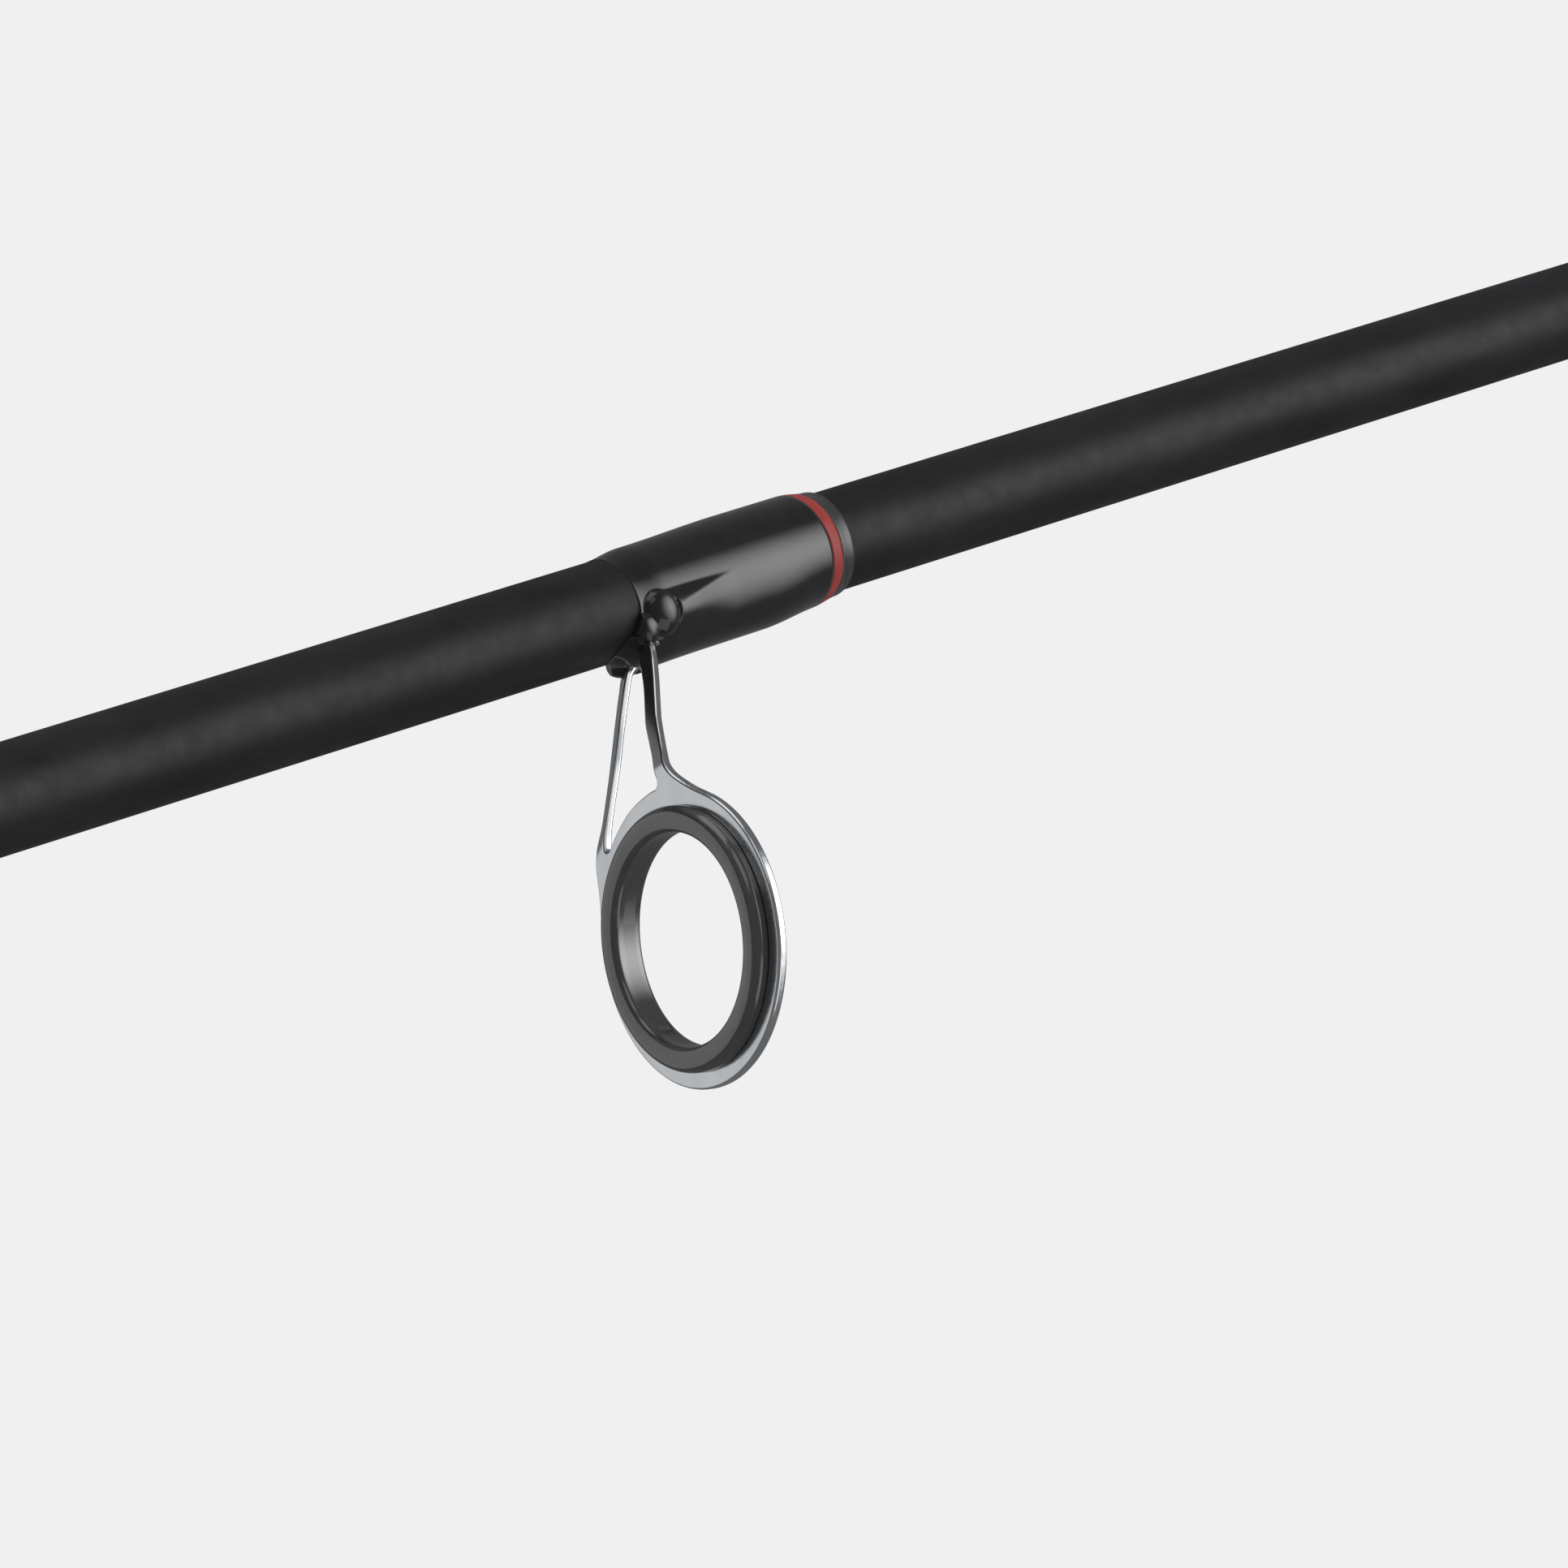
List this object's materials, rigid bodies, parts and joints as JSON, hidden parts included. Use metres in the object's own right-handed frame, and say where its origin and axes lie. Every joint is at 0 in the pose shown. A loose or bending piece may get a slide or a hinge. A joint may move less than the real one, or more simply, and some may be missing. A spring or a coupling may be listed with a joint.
{
  "type": "fishing rod and reel",
  "caption": "Two-piece spinning rod with single-foot ring guides and a spinning reel with turning handle, rotor, bail, spool and drag.",
  "frame": {"origin": "on the rod's axis, in the middle of the straight part of the rear grip", "axes": "+X along the rod towards its tip; guides and reel hang towards -Z; the handle is on the -Y side"},
  "size_m": [1.8327, 0.0948, 0.1455],
  "materials": {
    "blank": "matt black carbon blank, satin clear coat",
    "foam": "fine black EVA foam",
    "seat": "satin black moulded seat",
    "metal_trim": "satin anodised gunmetal",
    "steel": "polished stamped stainless steel",
    "ceramic": "polished dark grey ceramic",
    "wrap": "black thread under glossy epoxy",
    "trim_thread": "red thread under epoxy",
    "housing": "satin black painted die casting",
    "reel_grey": "dark grey satin",
    "spool_metal": "black anodised with polished lip",
    "machined": "machined steel",
    "brass": "machined brass",
    "washer": "felt and steel stack",
    "knob": "soft-touch knob"
  },
  "bodies": {
    "rod_butt": {"butt_cap": "knob", "rear_grip": "foam", "butt_blank": "blank", "reel_seat": "seat", "fixed_hood": "metal_trim", "fore_grip": "foam", "winding_check": "metal_trim", "hook_keeper": "steel", "keeper_wrap": "wrap", "butt_trim_threads": "trim_thread", "guide_1_frame": "steel", "guide_1_ring": "ceramic", "guide_1_wrap": "wrap", "guide_2_frame": "steel", "guide_2_ring": "ceramic", "guide_2_wrap": "wrap", "reel_body": "housing", "side_cover": "housing", "cover_screws": "machined", "drive_bearings": "machined", "rotor_bearing": "machined", "lever_pin": "machined"},
    "rod_tip": {"tip_blank": "blank", "ferrule_wrap": "wrap", "tip_trim_threads": "trim_thread", "tip_top": "steel", "tip_top_ring": "ceramic", "tip_top_wrap": "wrap", "guide_3_frame": "steel", "guide_3_ring": "ceramic", "guide_3_wrap": "wrap", "guide_4_frame": "steel", "guide_4_ring": "ceramic", "guide_4_wrap": "wrap", "guide_5_frame": "steel", "guide_5_ring": "ceramic", "guide_5_wrap": "wrap", "guide_6_frame": "steel", "guide_6_ring": "ceramic", "guide_6_wrap": "wrap"},
    "hood": {"sliding_hood": "metal_trim"},
    "nut": {"lock_nut": "metal_trim"},
    "handle": {"handle_arm": "reel_grey", "drive_gear": "brass", "handle_cap": "reel_grey"},
    "knob": {"handle_knob": "knob"},
    "rotor": {"rotor": "housing", "rotor_nut": "machined", "pinion": "brass", "bail_screws": "machined"},
    "bail": {"bail_arms": "reel_grey", "bail_wire": "machined"},
    "roller": {"line_roller": "machined"},
    "shaft": {"main_shaft": "machined", "slider": "machined"},
    "spool": {"spool": "spool_metal", "line_clip": "metal_trim", "drag_washers": "washer"},
    "drag": {"drag_knob": "reel_grey"},
    "lever": {"reverse_lever": "reel_grey"}
  },
  "joints": [
    {"name": "tip_pull", "type": "slide", "parent": "rod_butt", "child": "rod_tip", "axis": [1, 0, 0], "range_m": [0, 0.065]},
    {"name": "hood_slide", "type": "slide", "parent": "rod_butt", "child": "hood", "axis": [-1, 0, 0], "range_m": [0, 0.008]},
    {"name": "nut_turn", "type": "hinge", "parent": "hood", "child": "nut", "pos_m": [0.14, 0, 0], "axis": [-1, 0, 0], "range_deg": [0, 1920]},
    {"name": "rotor_spin", "type": "hinge", "parent": "rod_butt", "child": "rotor", "pos_m": [0.217, 0, -0.07], "axis": [1, 0, 0], "continuous": true},
    {"name": "handle_turn", "type": "hinge", "parent": "rod_butt", "child": "handle", "pos_m": [0.179, 0, -0.077], "axis": [0, -1, 0], "continuous": true},
    {"name": "knob_spin", "type": "hinge", "parent": "handle", "child": "knob", "pos_m": [0.21112, -0.046, -0.12287], "axis": [0, 1, 0], "continuous": true},
    {"name": "bail_open", "type": "hinge", "parent": "rotor", "child": "bail", "pos_m": [0.258, 0, -0.07], "axis": [0, -1, 0], "range_deg": [0, 105]},
    {"name": "roller_spin", "type": "hinge", "parent": "bail", "child": "roller", "pos_m": [0.26655, -0.033, -0.0777], "axis": [0, 1, 0], "continuous": true},
    {"name": "spool_travel", "type": "slide", "parent": "rod_butt", "child": "shaft", "axis": [1, 0, 0], "range_m": [-0.005, 0.005]},
    {"name": "spool_drag", "type": "hinge", "parent": "shaft", "child": "spool", "pos_m": [0.247, 0, -0.07], "axis": [1, 0, 0], "continuous": true},
    {"name": "drag_turn", "type": "hinge", "parent": "shaft", "child": "drag", "pos_m": [0.267, 0, -0.07], "axis": [1, 0, 0], "range_deg": [-360, 360]},
    {"name": "lever_swing", "type": "hinge", "parent": "rod_butt", "child": "lever", "pos_m": [0.159, 0, -0.087], "axis": [0, -1, 0], "range_deg": [-12, 12]}
  ],
  "couplings": [
    {"joint": "handle_turn", "follows": "rotor_spin", "ratio": 0.2},
    {"joint": "hood_slide", "follows": "nut_turn", "m_per_rad": 0.00023873}
  ]
}
